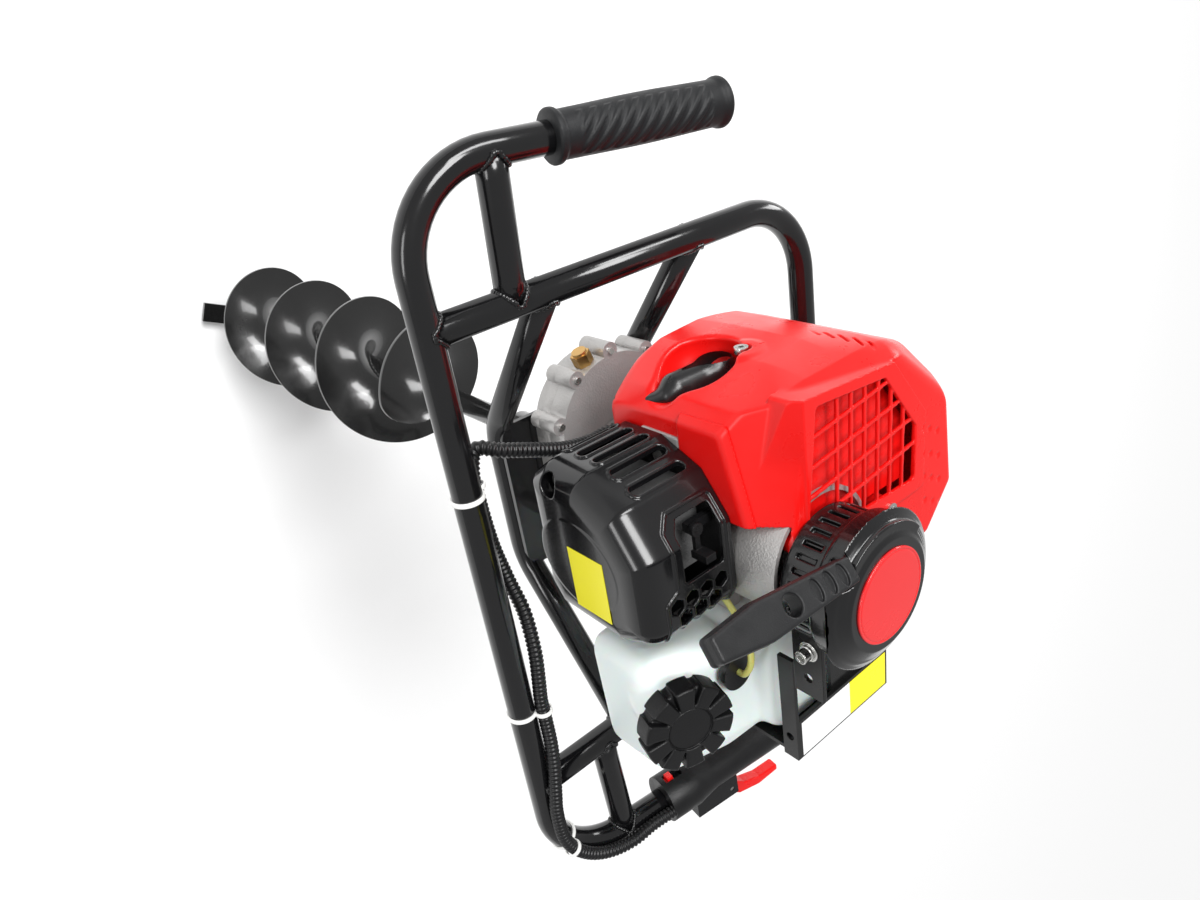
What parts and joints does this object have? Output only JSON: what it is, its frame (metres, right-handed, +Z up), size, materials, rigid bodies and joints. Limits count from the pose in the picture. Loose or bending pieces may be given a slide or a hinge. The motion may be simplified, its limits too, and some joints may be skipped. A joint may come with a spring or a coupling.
{
  "type": "petrol powered earth auger",
  "caption": "Hand-held petrol auger: tubular handle frame, vertical engine, reduction gearbox and a spiral boring bit on a vertical shaft.",
  "frame": {"origin": "tip of the bit, on the drill axis", "axes": "+Z up along the drill axis towards the recoil starter, +Y forward towards the guard hoop, +X to the right, the throttle side"},
  "size_m": [0.5756, 0.3352, 1.035],
  "materials": {
    "frame_paint": "gloss black stove enamel",
    "bit_paint": "gloss black",
    "grip_rubber": "satin",
    "black_plastic": "satin",
    "gloss_black_plastic": "high gloss",
    "handle_plastic": "satin",
    "red_plastic": "semi gloss",
    "cast_alloy": "as cast",
    "steel": "machined",
    "zinc": "zinc plated",
    "brass": "machined",
    "tank_plastic": "translucent, satin",
    "nylon": "satin",
    "ceramic": "glazed",
    "conduit_plastic": "ribbed",
    "filter_felt": "matt",
    "fuel_hose": "translucent",
    "boot_rubber": "satin",
    "sheet_steel": "satin black"
  },
  "bodies": {
    "frame": {"handlebar_tube": "frame_paint", "guard_hoop": "frame_paint", "rear_cradle_tube": "frame_paint", "front_cradle_tube": "frame_paint", "side_braces": "frame_paint", "mounting_plate": "frame_paint", "left_grip": "grip_rubber", "throttle_housing": "black_plastic", "trigger_pin": "steel", "throttle_conduit": "conduit_plastic", "cable_ties": "nylon", "gearbox_case": "cast_alloy", "gearbox_cover": "cast_alloy", "gearbox_bolts": "zinc", "oil_plug": "brass", "gearbox_bearings": "steel", "clutch_housing": "cast_alloy", "crankcase": "cast_alloy", "cylinder_block": "cast_alloy", "piston": "cast_alloy", "spark_plug": "ceramic", "spark_plug_cap": "boot_rubber", "ignition_coil": "black_plastic", "muffler": "steel", "top_cover": "red_plastic", "carburettor": "cast_alloy", "air_filter_base": "black_plastic", "air_filter_element": "filter_felt", "air_filter_cover": "gloss_black_plastic", "filter_cover_screw": "zinc", "fuel_tank": "tank_plastic", "tank_grommet": "boot_rubber", "fuel_lines": "fuel_hose", "starter_housing": "gloss_black_plastic", "recoil_spring": "steel", "starter_badge": "red_plastic", "tank_guard_bracket": "sheet_steel", "support_bracket": "sheet_steel", "engine_screws": "zinc"},
    "auger": {"output_shaft": "steel", "output_gear": "steel", "auger_shaft": "bit_paint", "auger_flight": "bit_paint", "cutting_blade": "bit_paint", "coupling_bolt": "zinc"},
    "layshaft": {"layshaft_gears": "steel"},
    "drum": {"clutch_drum": "steel"},
    "crank": {"crankshaft": "steel", "flywheel": "cast_alloy", "clutch_shoes": "steel"},
    "trigger": {"throttle_trigger": "red_plastic"},
    "switch": {"stop_switch": "red_plastic"},
    "choke": {"choke_lever": "black_plastic"},
    "cap": {"tank_cap": "black_plastic"},
    "pulley": {"starter_pulley": "nylon"},
    "handle": {"pull_handle": "handle_plastic"}
  },
  "joints": [
    {"name": "auger_spin", "type": "hinge", "parent": "frame", "child": "auger", "pos_m": [0, 0, 0], "axis": [0, 0, 1], "continuous": true},
    {"name": "layshaft_spin", "type": "hinge", "parent": "frame", "child": "layshaft", "pos_m": [-0.0465, 0, 0.78], "axis": [0, 0, 1], "continuous": true},
    {"name": "drum_spin", "type": "hinge", "parent": "frame", "child": "drum", "pos_m": [0, 0, 0.8], "axis": [0, 0, 1], "continuous": true},
    {"name": "crank_spin", "type": "hinge", "parent": "frame", "child": "crank", "pos_m": [0, 0, 0.9], "axis": [0, 0, 1], "continuous": true},
    {"name": "throttle_pull", "type": "hinge", "parent": "frame", "child": "trigger", "pos_m": [0.28313, 0.00211, 0.8618], "axis": [0, -0.1374, 0.9905], "range_deg": [0, 20], "stiffness_Nm_per_rad": 0.08, "springref_deg": -11.46},
    {"name": "stop_slide", "type": "slide", "parent": "frame", "child": "switch", "axis": [-0.0244, 0.9902, 0.1374], "range_m": [0, 0.007]},
    {"name": "choke_turn", "type": "hinge", "parent": "frame", "child": "choke", "pos_m": [-0.038, -0.066, 0.938], "axis": [0, 0, 1], "range_deg": [-20, 20]},
    {"name": "cap_turn", "type": "hinge", "parent": "frame", "child": "cap", "pos_m": [0.082, -0.099, 0.941], "axis": [0, -0.2756, 0.9613], "range_deg": [0, 360]},
    {"name": "handle_pull", "type": "slide", "parent": "frame", "child": "handle", "axis": [-0.108, -0.9942, 0], "range_m": [0, 0.6], "stiffness_N_per_m": 15, "springref_m": -0.3},
    {"name": "pulley_spin", "type": "hinge", "parent": "frame", "child": "pulley", "pos_m": [0, 0, 1.015], "axis": [0, 0, 1], "range_deg": [0, 1210]}
  ],
  "couplings": [
    {"joint": "layshaft_spin", "follows": "auger_spin", "ratio": -5.2},
    {"joint": "drum_spin", "follows": "auger_spin", "ratio": 27.04},
    {"joint": "pulley_spin", "follows": "handle_pull", "rad_per_m": 35.088}
  ]
}
